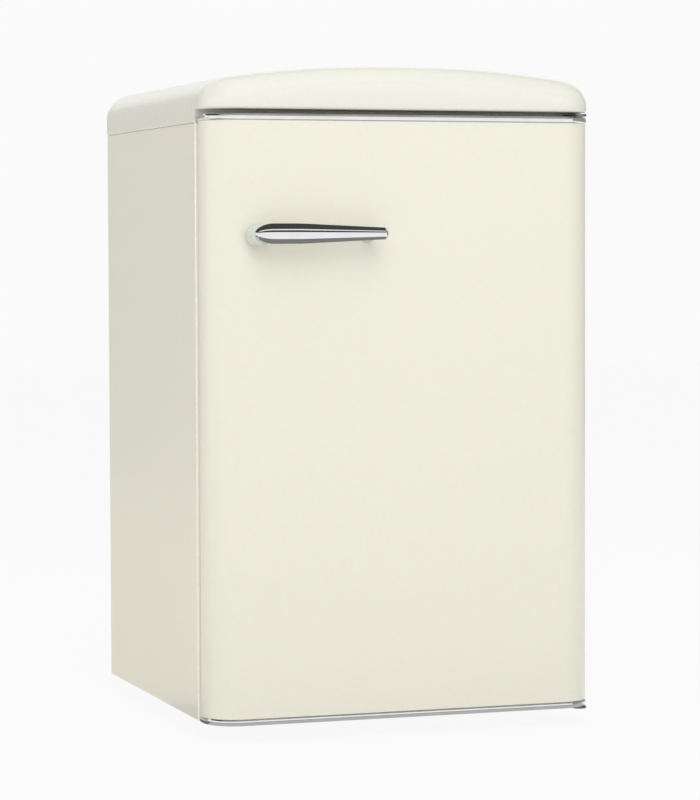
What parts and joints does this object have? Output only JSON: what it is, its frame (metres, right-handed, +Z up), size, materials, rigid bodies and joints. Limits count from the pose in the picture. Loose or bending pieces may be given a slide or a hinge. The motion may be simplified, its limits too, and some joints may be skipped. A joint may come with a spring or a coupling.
{
  "type": "refrigerator",
  "caption": "Free-standing under-counter refrigerator with a domed lid, rounded hinged door, tapered bar handle, shelves, door racks and a wire condenser at the back.",
  "frame": {"origin": "on the floor, under the middle of the overall width and depth", "axes": "+X to the right seen from the front, +Y from the door to the back, +Z up"},
  "size_m": [0.55, 0.585, 0.898],
  "materials": {
    "cream_paint": "gloss cream enamel",
    "cream_moulding": "gloss cream moulding",
    "chrome": "polished chrome",
    "zinc_sheet": "zinc-coated sheet",
    "steel_bright": "plated steel",
    "white_moulding": "white moulded plastic",
    "insulation": "cellular foam",
    "black_paint": "black paint",
    "rubber_dark": "matt rubber",
    "seal_grey": "soft pale grey seal",
    "shelf_glass": "clear toughened glass",
    "clear_moulding": "clear moulded plastic",
    "black_plastic": "matt black plastic",
    "copper": "bare copper",
    "aluminium": "rolled sheet",
    "bush_plastic": "bearing plastic"
  },
  "bodies": {
    "cabinet": {"cabinet_wrap": "cream_paint", "back_panel": "zinc_sheet", "base_pan": "zinc_sheet", "front_rail": "cream_paint", "inner_liner": "white_moulding", "shelf_rails": "white_moulding", "insulation_foam": "insulation", "top_lid": "cream_moulding", "lid_screws": "steel_bright", "upper_hinge_bracket": "steel_bright", "lower_hinge_bracket": "steel_bright", "hinge_pins": "steel_bright", "hinge_screws": "steel_bright", "upper_shelf_glass": "shelf_glass", "middle_shelf_glass": "shelf_glass", "lower_shelf_glass": "shelf_glass", "shelf_trims": "white_moulding", "thermostat_housing": "white_moulding", "lamp_cover": "clear_moulding", "compressor_tray": "zinc_sheet", "roller_axles": "steel_bright", "compressor_shell": "black_paint", "compressor_legs": "zinc_sheet", "compressor_grommets": "rubber_dark", "relay_box": "black_plastic", "drip_tray": "black_plastic", "drain_tube": "white_moulding", "base_fasteners": "steel_bright", "condenser_tube": "black_paint", "condenser_wires": "black_paint", "condenser_brackets": "steel_bright", "filter_drier": "copper", "refrigerant_pipes": "copper", "evaporator_plate": "aluminium", "mains_gland": "black_plastic"},
    "door": {"door_skin": "cream_paint", "door_foam": "insulation", "door_liner": "white_moulding", "door_gasket": "seal_grey", "door_top_cap": "cream_moulding", "door_bottom_cap": "cream_moulding", "door_top_trim": "chrome", "door_bottom_trim": "chrome", "hinge_bushes": "bush_plastic", "handle_bar": "chrome", "handle_boss": "cream_paint", "handle_post": "chrome", "handle_screws": "steel_bright"},
    "upper_rack": {"upper_rack": "clear_moulding"},
    "middle_rack": {"middle_rack": "clear_moulding"},
    "bottle_rack": {"bottle_rack": "clear_moulding"},
    "crisper_drawer": {"crisper_drawer": "clear_moulding"},
    "thermostat_knob": {"thermostat_knob": "white_moulding"},
    "light_switch_plunger": {"light_switch_plunger": "white_moulding"},
    "left_foot_pad": {"left_foot_pad": "rubber_dark"},
    "left_foot_stud": {"left_foot_stud": "steel_bright"},
    "right_foot_pad": {"right_foot_pad": "rubber_dark"},
    "right_foot_stud": {"right_foot_stud": "steel_bright"},
    "left_rear_roller": {"left_rear_roller": "black_plastic"},
    "right_rear_roller": {"right_rear_roller": "black_plastic"}
  },
  "joints": [
    {"name": "door_hinge", "type": "hinge", "parent": "cabinet", "child": "door", "pos_m": [0.261, -0.2235, 0.4285], "axis": [0, 0, 1], "range_deg": [0, 120]},
    {"name": "crisper_slide", "type": "slide", "parent": "cabinet", "child": "crisper_drawer", "axis": [0, -1, 0], "range_m": [0, 0.065]},
    {"name": "thermostat_turn", "type": "hinge", "parent": "cabinet", "child": "thermostat_knob", "pos_m": [0.187, -0.1155, 0.726], "axis": [-1, 0, 0], "range_deg": [0, 270]},
    {"name": "light_switch_press", "type": "slide", "parent": "cabinet", "child": "light_switch_plunger", "axis": [0, -1, 0], "range_m": [0, 0.006]},
    {"name": "upper_rack_lift", "type": "slide", "parent": "door", "child": "upper_rack", "axis": [0, 0, 1], "range_m": [0, 0.03]},
    {"name": "middle_rack_lift", "type": "slide", "parent": "door", "child": "middle_rack", "axis": [0, 0, 1], "range_m": [0, 0.03]},
    {"name": "bottle_rack_lift", "type": "slide", "parent": "door", "child": "bottle_rack", "axis": [0, 0, 1], "range_m": [0, 0.03]},
    {"name": "left_foot_lift", "type": "slide", "parent": "cabinet", "child": "left_foot_pad", "axis": [0, 0, -1], "range_m": [0, 0.015]},
    {"name": "left_foot_turn", "type": "hinge", "parent": "left_foot_pad", "child": "left_foot_stud", "pos_m": [-0.174, -0.0615, 0.01], "axis": [0, 0, -1], "range_deg": [0, 4321]},
    {"name": "left_roller_spin", "type": "hinge", "parent": "cabinet", "child": "left_rear_roller", "pos_m": [-0.214, 0.2485, 0.012], "axis": [1, 0, 0], "continuous": true},
    {"name": "right_foot_lift", "type": "slide", "parent": "cabinet", "child": "right_foot_pad", "axis": [0, 0, -1], "range_m": [0, 0.015]},
    {"name": "right_foot_turn", "type": "hinge", "parent": "right_foot_pad", "child": "right_foot_stud", "pos_m": [0.174, -0.0615, 0.01], "axis": [0, 0, -1], "range_deg": [0, 4321]},
    {"name": "right_roller_spin", "type": "hinge", "parent": "cabinet", "child": "right_rear_roller", "pos_m": [0.214, 0.2485, 0.012], "axis": [1, 0, 0], "continuous": true}
  ],
  "couplings": [
    {"joint": "light_switch_press", "follows": "door_hinge", "m_per_rad": 0.00286},
    {"joint": "left_foot_turn", "follows": "left_foot_lift", "rad_per_m": 5026.5},
    {"joint": "right_foot_turn", "follows": "right_foot_lift", "rad_per_m": 5026.5}
  ]
}
